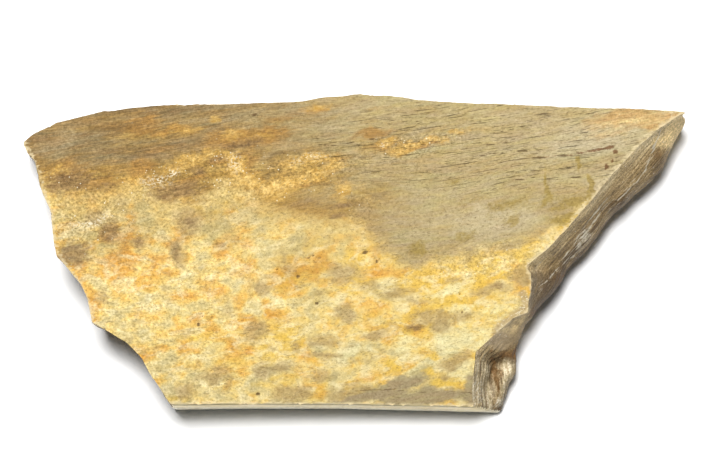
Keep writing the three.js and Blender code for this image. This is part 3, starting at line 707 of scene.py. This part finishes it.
def makeCrystalTone():  # pale crystals let less stain through, so a lighter tone is also a greyer one
    tree, given = newGroup("crystalTone", "ShaderNodeTree",
                           {"Colour": "Color", "Tone": 1.0}, {"Colour": "Color"})
    tone = given["Tone"]
    tint = after("ShaderNodeCombineColor", None, {0: tone, 1: tone ** 1.05, 2: tone ** 1.32})
    return finishGroup(tree, blend(1.0, given["Colour"], tint, "MULTIPLY"))


# Materials.

def startMaterial(name):
    material = bpy.data.materials.new(name)
    material.use_nodes = True
    return material, material.node_tree, material.node_tree.nodes["Principled BSDF"]


def finishMaterial(shader, look, colour, roughness, height):
    bump = after("ShaderNodeBump", None, {"Strength": 1.0, "Distance": look["bump"] * mm, "Height": height})
    for name, value in (("Base Color", colour), ("Roughness", roughness), ("Normal", bump)):
        shader.id_data.links.new(value.socket, shader.inputs[name])
    shader.inputs["IOR"].default_value = look["refraction"]
    shader.inputs["Specular IOR Level"].default_value = look["gloss"]


def bonePoint(tree):
    return scaled(wire(put(tree, "ShaderNodeTexCoord").outputs["Object"]), 1 / mm)


def readField(tree, name):
    return wire(put(tree, "ShaderNodeAttribute", {"attribute_name": name}).outputs["Fac"])


def effectsOver(tree, groups, place):  # the shared effects, laid over one place
    def field(name):
        return readField(tree, name)

    def mottle(length, width, share, softness, seed):
        return placeGroup(groups["mottle"], place=place, length=length, width=width, share=share,
                          softness=softness, seed=seed)[0]

    def stain(name, middle, softness, wander, length, width, seed):
        return placeGroup(groups["stain"], place=place, field=field(name), middle=middle, softness=softness,
                          wander=wander, length=length, width=width, seed=seed)[0]

    def cloud(length, width, detail, roughness, seed):
        return noise(stretched(place, length, width), 1.0, detail, roughness, seed, 0.3)

    return field, mottle, stain, cloud


outerBoneLook = {
    "leftStreaks": [(0.25, (0.116, 0.067, 0.018)), (0.40, (0.144, 0.090, 0.029)),
                    (0.52, (0.172, 0.116, 0.045)), (0.63, (0.210, 0.151, 0.069)),
                    (0.78, (0.280, 0.218, 0.118))],
    "rightStreaks": [(0.24, (0.235, 0.170, 0.075)), (0.38, (0.325, 0.243, 0.108)),
                     (0.50, (0.378, 0.295, 0.140)), (0.62, (0.415, 0.338, 0.175)),
                     (0.76, (0.46, 0.40, 0.235))],
    "greenish": (0.335, 0.293, 0.134),
    "lilac": (0.335, 0.258, 0.148),
    "ruddy": (0.195, 0.105, 0.036),
    "straw": (0.400, 0.315, 0.115),
    "honey": (0.300, 0.168, 0.032),
    "ash": (0.470, 0.405, 0.265),
    "warmth": [(0.16, (0.43, 0.350, 0.155)), (0.32, (0.57, 0.450, 0.190)), (0.45, (0.64, 0.472, 0.163)),
               (0.57, (0.635, 0.410, 0.104)), (0.69, (0.61, 0.345, 0.068)), (0.85, (0.54, 0.265, 0.040))],
    "pale": (0.72, 0.62, 0.35),
    "white": (0.74, 0.67, 0.36),
    "olive": (0.47, 0.400, 0.175),
    "yellow": (0.615, 0.400, 0.062),
    "duskShade": (0.66, 0.59, 0.48),
    "grey": (0.350, 0.243, 0.096),
    "spot": [(0.30, (0.235, 0.150, 0.054)), (0.50, (0.325, 0.222, 0.088)), (0.70, (0.410, 0.300, 0.130))],
    "brown": [(0.30, (0.125, 0.065, 0.021)), (0.50, (0.200, 0.118, 0.042)), (0.70, (0.310, 0.195, 0.076))],
    "pore": (0.220, 0.140, 0.062),
    "mauve": (0.285, 0.215, 0.118),
    "amber": (0.29, 0.150, 0.032),
    "glow": [(0.34, (0.190, 0.105, 0.018)), (0.50, (0.290, 0.168, 0.030)), (0.66, (0.42, 0.275, 0.066))],
    "gold": [(0.25, (0.33, 0.170, 0.026)), (0.46, (0.45, 0.265, 0.055)), (0.74, (0.60, 0.400, 0.125))],
    "fringe": (0.46, 0.31, 0.095),
    "peach": [(0.30, (0.400, 0.225, 0.075)), (0.48, (0.490, 0.318, 0.125)), (0.70, (0.600, 0.450, 0.190))],
    "chalk": (0.62, 0.51, 0.30),
    # painted highlight: pale quartz grains, painted brighter as glints
    "quartzGlint": (0.74, 0.66, 0.46),
    "glassy": (0.37, 0.275, 0.150),
    "rust": (0.115, 0.042, 0.008),
    "mustard": (0.260, 0.178, 0.036),
    "opening": (0.085, 0.046, 0.014),
    "tints": [  # length, width, share, softness and seed, then strength at the right and at the left
        ("greenish", 16.0, 4.5, 0.46, 0.12, 3.0, 0.55, 0.16),
        ("lilac", 12.0, 2.6, 0.40, 0.10, 17.0, 0.5, 0.18),
        ("honey", 9.0, 2.2, 0.44, 0.14, 18.0, 0.35, 0.3),
        ("straw", 4.5, 1.1, 0.44, 0.14, 71.0, 0.4, 0.0),
        ("lilac", 5.0, 1.3, 0.40, 0.14, 72.0, 0.5, 0.0),
    ],
    "bump": 0.07,
    "refraction": 1.5,
    "gloss": 0.25,
}


def makeOuterBone(groups):
    look = outerBoneLook
    material, tree, shader = startMaterial("weatheredOuterBone")
    point = bonePoint(tree)
    grain = alongGrain(point)
    field, mottle, stain, cloud = effectsOver(tree, groups, grain)
    alongX, alongY, _ = split(point)

    # weathered part: streaks that follow the grain, brown at the left and tan at the right
    fibres, fineFibres = placeGroup(groups["fibre"], place=grain, length=7.0, width=0.45, seed=1.0)
    leftward = ease(alongX, 24.0, -42.0)
    streaks, clouds = cloud(10.0, 1.3, 4.0, 0.6, 2.0), cloud(26.0, 8.0, 2.0, 0.5, 4.0)
    rightTone = about(fibres, 0.42, about(streaks, 0.42, about(clouds, 0.40, 0.49)))
    leftTone = about(cloud(12.0, 2.2, 2.0, 0.5, 62.0), 0.75, about(clouds, 0.30, 0.49))
    colour = blend(leftward, ramp(rightTone, look["rightStreaks"]), ramp(leftTone, look["leftStreaks"]))
    colour = blend(mottle(5.0, 1.6, 0.42, 0.16, 70.0) * (leftward * 0.5), colour, look["ruddy"])
    for name, length, width, share, softness, seed, atRight, atLeft in look["tints"]:
        mask = mottle(length, width, share, softness, seed) * ease(leftward, 0.0, 1.0, atRight, atLeft)
        colour = blend(mask, colour, look[name])
    halo = stain("cream", -4.0, 3.6, 9.0, 4.0, 1.6, 19.0) * ease(alongX, 12.0, -8.0, 0.15, 0.85)
    glowTone = about(cloud(4.0, 1.5, 3.0, 0.6, 58.0), 1.0, 0.5)
    goldArea = stain("gold", 0.60, 0.50, 1.8, 1.8, 1.1, 31.0)
    goldTone = field("gold") * 0.22 + about(cloud(1.1, 0.8, 3.0, 0.65, 32.0), 1.1, 0.34)
    peachTone = about(cloud(4.0, 0.7, 3.0, 0.6, 76.0), 1.2, 0.5)
    colour = overlay(
        colour,
        (stain("ash", 0.5, 0.5, 1.2, 8.0, 2.0, 68.0) * 0.45, look["ash"]),
        (halo, look["honey"]),
        (stain("glow", 0.5, 0.45, 1.3, 4.0, 1.6, 57.0) * 0.75, ramp(glowTone, look["glow"])),
        (stain("amber", 0.48, 0.40, 1.3, 4.0, 0.8, 30.0) * 0.85, look["amber"]),
        (mottle(7.0, 0.9, 0.34, 0.10, 6.0) * leftward * 0.2, look["amber"]),
        (goldArea * 0.9, ramp(goldTone, look["gold"])),
        (stain("peach", 0.5, 0.5, 1.2, 4.0, 1.2, 75.0) * 0.8, ramp(peachTone, look["peach"])),
    )

    # cream part: one scale of warmth from grey green to orange, then yellow and pale crystals
    warmth = about(cloud(7.0, 5.0, 1.5, 0.45, 11.0), 1.1, 0.485)
    warmth = about(cloud(2.8, 1.9, 1.5, 0.45, 12.0), 0.9, warmth)
    warmth = warmth + stain("orange", 0.5, 0.50, 1.2, 1.7, 1.1, 42.0) * 0.235
    warmth = warmth - stain("pale", 0.5, 0.45, 1.0, 1.5, 1.2, 43.0) * 0.19
    warmth = warmth + ease(alongY, -16.0, -24.0, 0.0, -0.07) + ease(alongX, -28.0, -48.0, 0.0, 0.07)
    olive = mottle(5.0, 2.0, 0.5, 0.14, 61.0) * ease(alongY, -4.0, 4.0, 0.08, 0.6) * ease(alongX, 16.0, 4.0)
    cream = overlay(
        ramp(warmth, look["warmth"]),
        (stain("yellow", 0.5, 0.42, 1.2, 2.4, 1.4, 21.0) * 0.85, look["yellow"]),
        (mottle(5.0, 2.6, 0.36, 0.14, 13.0) * ease(alongX, -22.0, 12.0, 0.1, 0.68), look["yellow"]),
        (mottle(3.4, 2.0, 0.32, 0.12, 14.0) * 0.6, look["pale"]),
        (mottle(3.4, 2.4, 0.14, 0.08, 16.0) * 0.5, look["grey"]),
        (stain("streaks", 0.6, 0.4, 1.6, 1.6, 0.7, 66.0) * 0.8, look["pale"]),
        (stain("white stain", 0.55, 0.4, 1.8, 2.0, 1.0, 73.0) * 0.6, look["white"]),
        (olive, look["olive"]),
    )
    dusk = stain("dusk", 0.5, 0.5, 0.8, 4.0, 2.4, 65.0) * 0.75
    fringe = (1.0 - stain("cream", 3.2, 3.4, 8.0, 3.2, 1.6, 59.0)) * ease(alongX, 16.0, -14.0, 0.25, 0.65)
    cream = blend(dusk, cream, blend(1.0, cream, look["duskShade"], "MULTIPLY"))
    cream = blend(fringe, cream, look["fringe"])
    creamArea = stain("cream", 0.0, 1.9, 7.0, 3.4, 1.7, 5.0)

    # spots that cross both
    umberGrey = ramp(about(cloud(1.8, 1.0, 2.0, 0.6, 60.0), 1.0, 0.5), look["spot"])
    umber = ramp(about(cloud(1.6, 0.9, 2.0, 0.6, 44.0), 1.0, 0.5), look["brown"])
    mauve = blend(mottle(9.0, 1.2, 0.5, 0.10, 41.0) * 0.4, look["mauve"], look["greenish"])
    scar = stain("scar", 0.5, 0.4, 1.4, 1.4, 0.8, 63.0)
    colour = overlay(
        colour,
        (creamArea, cream),
        (stain("grey", 0.30, 0.34, 1.2, 2.4, 1.4, 45.0) * 0.42, look["grey"]),
        (stain("grey", 0.60, 0.34, 1.7, 1.7, 0.9, 34.0) * 0.62, umberGrey),
        (stain("brown", 0.55, 0.40, 1.5, 1.6, 0.9, 33.0) * 0.85, umber),
        (stain("mauve", 0.5, 0.26, 0.9, 3.0, 0.9, 35.0) * 0.92, mauve),
        (stain("mustard", 0.5, 0.4, 1.3, 0.9, 0.6, 36.0) * 0.8, look["mustard"]),
        (stain("rust", 0.5, 0.3, 1.4, 0.6, 0.4, 37.0) * 0.85, look["rust"]),
        (scar * 0.75, look["glassy"]),
    )

    # fine grain over everything
    grains, sparks = placeGroup(groups["granules"], place=point, size=0.36, share=0.09, seed=7.0)
    sugary = field("granular")
    sugar = noise(point, 1.9, 2.0, 0.7, 8.0)
    tone = about(sugar, larger(ease(sugary, 0.0, 1.0, 0.64, 2.3), leftward * 1.4), 1.0)
    tone = tone * ease(grains, 0.0, 1.0, 0.94, 1.05)
    clouded = creamArea * ease(alongX, 0.0, -24.0, 0.22, 0.5)
    tone = tone * about(cloud(1.8, 1.4, 3.0, 0.6, 67.0), clouded, 1.0)
    streakSwing = leftward * (1.0 - larger(creamArea, goldArea * 0.8)) * ease(sugary, 0.2, 1.0, 1.0, 0.55)
    tone = tone * about(fibres, streakSwing * 0.9, 1.0) * about(streaks, streakSwing * 0.8, 1.0)
    fineSwing = ease(leftward, 0.0, 1.0, 0.6, 1.1) * ease(alongY, 6.0, 16.0, 0.6, 1.0)
    fineSwing = fineSwing * ease(creamArea, 0.0, 1.0, 1.0, 0.25) * ease(goldArea, 0.0, 1.0, 1.0, 0.3)
    tone = tone * about(fineFibres, fineSwing, 1.0)
    colour = placeGroup(groups["tone"], colour=colour, tone=tone)[0]

    # pores, painted glints (pale quartz grains painted brighter as glints), the slits of the vessel openings,
    # pits and the crumbled arris
    pores = mottle(0.7, 0.34, 0.15, 0.03, 38.0)
    cluster = larger(sugary, goldArea) * mottle(3.0, 2.0, 0.42, 0.08, 39.0)
    glints = larger(sparks * cluster, scar * mottle(0.6, 0.35, 0.22, 0.05, 64.0))
    glints = larger(glints, field("sparkle") * mottle(0.55, 0.4, 0.42, 0.05, 74.0))
    short = placeGroup(groups["openings"], place=grain, length=2.6, width=0.17, share=0.40, seed=8.0)[0]
    long = placeGroup(groups["openings"], place=grain, length=9.0, width=0.18, share=0.38, seed=3.0)[0]
    openings = larger(short, long) * ease(field("openings"), 0.0, 0.7)
    cracks = about(cloud(2.2, 0.8, 3.0, 0.65, 69.0), 1.7, field("cracks"))
    openings = larger(openings, ease(cracks, 1.0, 1.4)) * (1.0 - creamArea * 0.8)
    pits = larger(ease(field("pits"), 0.55, 0.95), stain("creases", 0.7, 0.25, 1.8, 2.2, 0.8, 46.0) * 0.6)
    crumbled = stain("rim", -0.4, 0.4, 3.8, 1.2, 0.8, 9.0) * ease(field("arris"), 0.2, 1.0)
    colour = overlay(
        colour,
        (pores * 0.28, look["pore"]),
        (glints * 0.85, look["quartzGlint"]),
        (openings * 0.8, look["opening"]),
        (pits * 0.9, look["opening"]),
        (crumbled * 0.7, look["chalk"]),
    )
    height = (fibres * 0.9 + fineFibres * 0.5) * ease(creamArea, 0.0, 1.0, 1.0, 0.4)
    height = height + sugar * ease(sugary, 0.0, 1.0, 0.4, 1.6) - pores * 0.6 - openings * 1.4
    finishMaterial(shader, look, colour, ease(fibres, 0.2, 0.8, 0.62, 0.82) - glints * 0.35, height)
    return material


brokenBoneLook = {
    "stone": [(0.22, (0.120, 0.070, 0.026)), (0.40, (0.300, 0.205, 0.088)), (0.55, (0.490, 0.358, 0.172)),
              (0.75, (0.680, 0.540, 0.300))],
    "facet": [(0.30, (0.200, 0.128, 0.052)), (0.50, (0.350, 0.250, 0.125)), (0.66, (0.460, 0.345, 0.200))],
    "tearAngle": math.radians(48),
    "blond": (0.84, 0.63, 0.30),
    "layers": [(0.30, (0.130, 0.088, 0.042)), (0.40, (0.340, 0.256, 0.136)), (0.55, (0.520, 0.425, 0.260)),
               (0.70, (0.660, 0.570, 0.385))],
    "dark": (0.105, 0.066, 0.032),
    "amber": (0.155, 0.075, 0.020),
    "chalk": (0.66, 0.54, 0.32),
    "white": (0.62, 0.56, 0.43),
    # painted highlight: pale quartz grains, painted brighter as glints
    "quartzGlint": (0.74, 0.69, 0.56),
    "bump": 0.10,
    "refraction": 1.52,
    "gloss": 0.3,
}


def makeBrokenBone(groups):
    look = brokenBoneLook
    material, tree, shader = startMaterial("brokenBone")
    point = bonePoint(tree)
    field, mottle, stain, _ = effectsOver(tree, groups, point)
    x, y, _ = split(point)
    depth, rim = field("depth"), field("rim")
    bent = about(noise(point, 0.22, 3.0, 0.6, 41.0), 0.9, depth)

    def layered(along, across, seed):
        return noise(joined(x / along, y / along, bent / across), 1.0, 3.0, 0.62, seed)

    # stone: lighter near the arris, with faint bands and hair-fine striations
    tear = noise(stretched(turned(point, -look["tearAngle"]), 5.0, 0.42), 1.0, 3.0, 0.6, 57.0)
    facet = stain("facet", 0.34, 0.25, 0.3, 2.0, 2.0, 60.0)
    torn = ease(field("torn"), 0.0, 0.6) * ease(facet, 0.0, 1.0, 1.0, 0.35)
    coarse, fine = layered(20.0, 2.4, 42.0), layered(7.0, 0.30, 43.0)
    tone = about(noise(point, 0.16, 3.0, 0.55, 47.0), 0.35, about(coarse, 0.40, 0.47))
    tone = tone + ease(rim, 6.0, 0.5, -0.13, 0.15) + ease(rim, 1.0, 0.1, 0.0, -0.10)
    tone = about(tear, torn * 0.55, tone)
    tone = about(layered(16.0, 0.9, 59.0), (1.0 - larger(torn, facet)) * 0.75, tone)
    facetTone = ease(x, 27.0, 35.0, 0.62, 0.40) + coarse * 0.1
    curled = joined(x * 1.3 + bent * 0.45, y / 7.0, depth / 7.0)
    layers = about(noise(curled, 1.1, 5.0, 0.72, 49.0), 1.5, 0.46)
    white = ease((tear - 0.5) * 3.0 + field("white"), 0.5, 1.1) * ease(bent, 9.5, 6.0)
    colour = overlay(
        ramp(tone, look["stone"]),
        (facet * 0.9, ramp(facetTone, look["facet"])),
        (stain("laminated", 0.5, 0.3, 0.8, 1.6, 1.6, 48.0) * 0.85, ramp(layers, look["layers"])),
        (stain("dark", 0.55, 0.4, 1.2, 3.0, 1.6, 50.0) * 0.75, look["dark"]),
        (stain("blond", 0.5, 0.35, 1.2, 1.2, 1.2, 56.0) * 0.75, look["blond"]),
        (stain("hollow", 0.5, 0.35, 1.2, 1.4, 1.4, 44.0) * 0.85, look["amber"]),
        (white * 0.7, look["white"]),
    )
    grains, sparks = placeGroup(groups["granules"], place=point, size=0.36, share=0.035, seed=17.0)
    tone = about(fine, ease(facet, 0.0, 1.0, 1.2, 0.2), 1.0)
    tone = about(noise(point, 2.8, 2.0, 0.7, 55.0), ease(facet, 0.0, 1.0, 2.3, 1.0), tone)
    tone = about(tear, torn * 0.55, tone) * ease(grains, 0.0, 1.0, 0.93, 1.07)
    colour = placeGroup(groups["tone"], colour=colour, tone=tone)[0]

    # the pale ridge, frayed streaks, painted glints (pale quartz grains painted brighter as glints) and the
    # crumbled arris
    ridge = about(noise(point, 0.3, 2.0, 0.5, 58.0), 1.6, about(tear, 1.6, field("ridge")))
    fray = (tear - 0.5) * 3.0 + field("fray") * 0.5
    streaked = larger(ease(ridge, 0.55, 1.05), ease(fray, 0.70, 1.05) * 0.8)
    glints = sparks * mottle(4.0, 3.0, 0.3, 0.05, 54.0)
    crumbled = 1.0 - stain("rim", 0.3, 0.45, 3.2, 1.1, 0.8, 46.0)
    crumbled = crumbled * ease(field("arris"), 0.0, 0.8, 0.0, 0.75)
    colour = overlay(colour, (streaked * 0.7, look["white"]), (glints * 0.85, look["quartzGlint"]),
                     (crumbled, look["chalk"]))
    height = fine * 0.9 + coarse * 0.5 + grains * 0.3
    finishMaterial(shader, look, colour, ease(fine, 0.3, 0.7, 0.56, 0.76) - glints * 0.35, height)
    return material


sawnBoneLook = {
    # the chalk and the cream are the saw cut's own pale colours, painted brighter as light: the front face
    # turns away from the lamp
    "chalk": (0.96, 0.91, 0.75),
    "cream": (0.96, 0.79, 0.44),
    "tan": (0.66, 0.55, 0.35),
    "brown": (0.30, 0.21, 0.11),
    "sawStep": 0.55,
    "bump": 0.08,
    "refraction": 1.5,
    "gloss": 0.5,
}


def makeSawnBone(groups):
    look = sawnBoneLook
    material, tree, shader = startMaterial("sawnBone")
    point = bonePoint(tree)
    depth = readField(tree, "depth")
    cells = after("ShaderNodeTexVoronoi", {"voronoi_dimensions": "3D", "feature": "DISTANCE_TO_EDGE"},
                  {"Vector": vectorCalc("MULTIPLY", point, (0.45, 0.8, 0.8)), "Scale": 1.0})
    coat = noise(point, 0.12, 4.0, 0.6, 51.0)
    grain = alongGrain(point)
    fibres, fineFibres = placeGroup(groups["fibre"], place=grain, length=7.0, width=0.5, seed=52.0)
    ragged = noise(stretched(point, 3.0, 2.0), 1.0, 4.0, 0.65, 62.0)
    edge = about(ragged, 9.0, about(coat, 14.0, depth))
    inside = ease(split(point)[2], 1.0, 0.3)
    # painted light: chalk and cream make the front face as bright as if the lamp lit it
    colour = overlay(
        blend(ease(coat, 0.42, 0.66), look["chalk"], look["tan"]),
        (ease(edge, 9.5, 4.0) * ease(ragged, 0.36, 0.5, 0.45, 0.9), look["cream"]),
        (inside * 0.55, look["tan"]),
        (ease(cells, 0.02, 0.16) * inside * 0.6, look["brown"]),
        (ease(fibres, 0.52, 0.75) * 0.4, look["brown"]),
    )
    tone = about(noise(stretched(point, 16.0, 0.8), 1.0, 4.0, 0.65, 61.0), 1.1, 1.0)
    colour = placeGroup(groups["tone"], colour=colour, tone=tone * ease(depth, 0.3, 1.6, 0.6, 1.0))[0]
    lines = after("ShaderNodeTexWave", {"wave_type": "BANDS", "bands_direction": "X"}, {
        "Vector": point, "Scale": 0.16 / look["sawStep"], "Distortion": 2.0, "Detail": 2.0}, "Fac")
    finishMaterial(shader, look, colour, ease(coat, 0.3, 0.7, 0.5, 0.72), lines * 0.6 + fineFibres * 0.6)
    return material


def makeMaterials():
    groups = {
        "fibre": makeFibreGrain(),
        "mottle": makeMottle(),
        "stain": makeStainEdge(),
        "openings": makeVesselOpenings(),
        "granules": makeGranules(),
        "tone": makeCrystalTone(),
    }
    return [makeOuterBone(groups), makeBrokenBone(groups), makeSawnBone(groups)]


# Floor, lights and camera.

studio = {
    "floorSize": 6.0,                  # metres
    "floorColour": (0.95, 0.95, 0.95),
    "skyStrength": 0.07,
    "skyColour": (0.80, 0.93, 1.0),
    "lightPlace": (-0.105, 0.27, 1.08),  # metres
    "lightSize": 0.37,
    "lightPower": 20.0,
    "target": (-0.0002, 0.0025, 0.016),
    "elevation": 84.0,
    "distance": 0.7,
    "lens": 178.0,
}


def aim(thing, place, target):
    thing.location = place
    thing.rotation_euler = (Vector(target) - Vector(place)).to_track_quat("-Z", "Y").to_euler()


def makeStudio():
    scene = bpy.context.scene
    half = studio["floorSize"] / 2
    mesh = bpy.data.meshes.new("floor")
    corners = [(-half, -half, 0), (half, -half, 0), (half, half, 0), (-half, half, 0)]
    mesh.from_pydata(corners, [], [(0, 1, 2, 3)])
    floor = bpy.data.objects.new("floor", mesh)
    scene.collection.objects.link(floor)
    paper, _, shader = startMaterial("paper")
    shader.inputs["Base Color"].default_value = (*studio["floorColour"], 1.0)
    shader.inputs["Roughness"].default_value = 0.9
    shader.inputs["Specular IOR Level"].default_value = 0.1
    mesh.materials.append(paper)
    world = bpy.data.worlds.new("paleRoom")
    world.use_nodes = True
    sky = world.node_tree.nodes["Background"]
    sky.inputs["Color"].default_value = (*studio["skyColour"], 1.0)
    sky.inputs["Strength"].default_value = studio["skyStrength"]
    scene.world = world
    lampData = bpy.data.lights.new("softbox", "AREA")
    lampData.shape = "SQUARE"
    lampData.size = studio["lightSize"]
    lampData.energy = studio["lightPower"]
    lamp = bpy.data.objects.new("softbox", lampData)
    scene.collection.objects.link(lamp)
    aim(lamp, studio["lightPlace"], studio["target"])
    cameraData = bpy.data.cameras.new("camera")
    cameraData.sensor_width = 36.0
    cameraData.lens = studio["lens"]
    cameraData.clip_start, cameraData.clip_end = 0.01, 20.0
    camera = bpy.data.objects.new("camera", cameraData)
    scene.collection.objects.link(camera)
    tilt = math.radians(studio["elevation"])
    back = Vector((0.0, -math.cos(tilt), math.sin(tilt))) * studio["distance"]
    aim(camera, Vector(studio["target"]) + back, studio["target"])
    scene.camera = camera
    scene.view_settings.view_transform = "Standard"


bone, rim = makeFineBone(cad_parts["bone_section"])
print("fine mesh", len(bone.data.vertices), "points")
storeFields(bone, rim)
print("stains placed")
materials = makeMaterials()
print("materials made")
raiseRelief(bone, materials)
print("relief raised", sum(len(face.vertices) - 2 for face in bone.data.polygons), "triangles")
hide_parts("bone_section")
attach(bone, "root")
makeStudio()
print("floor, light and camera set")
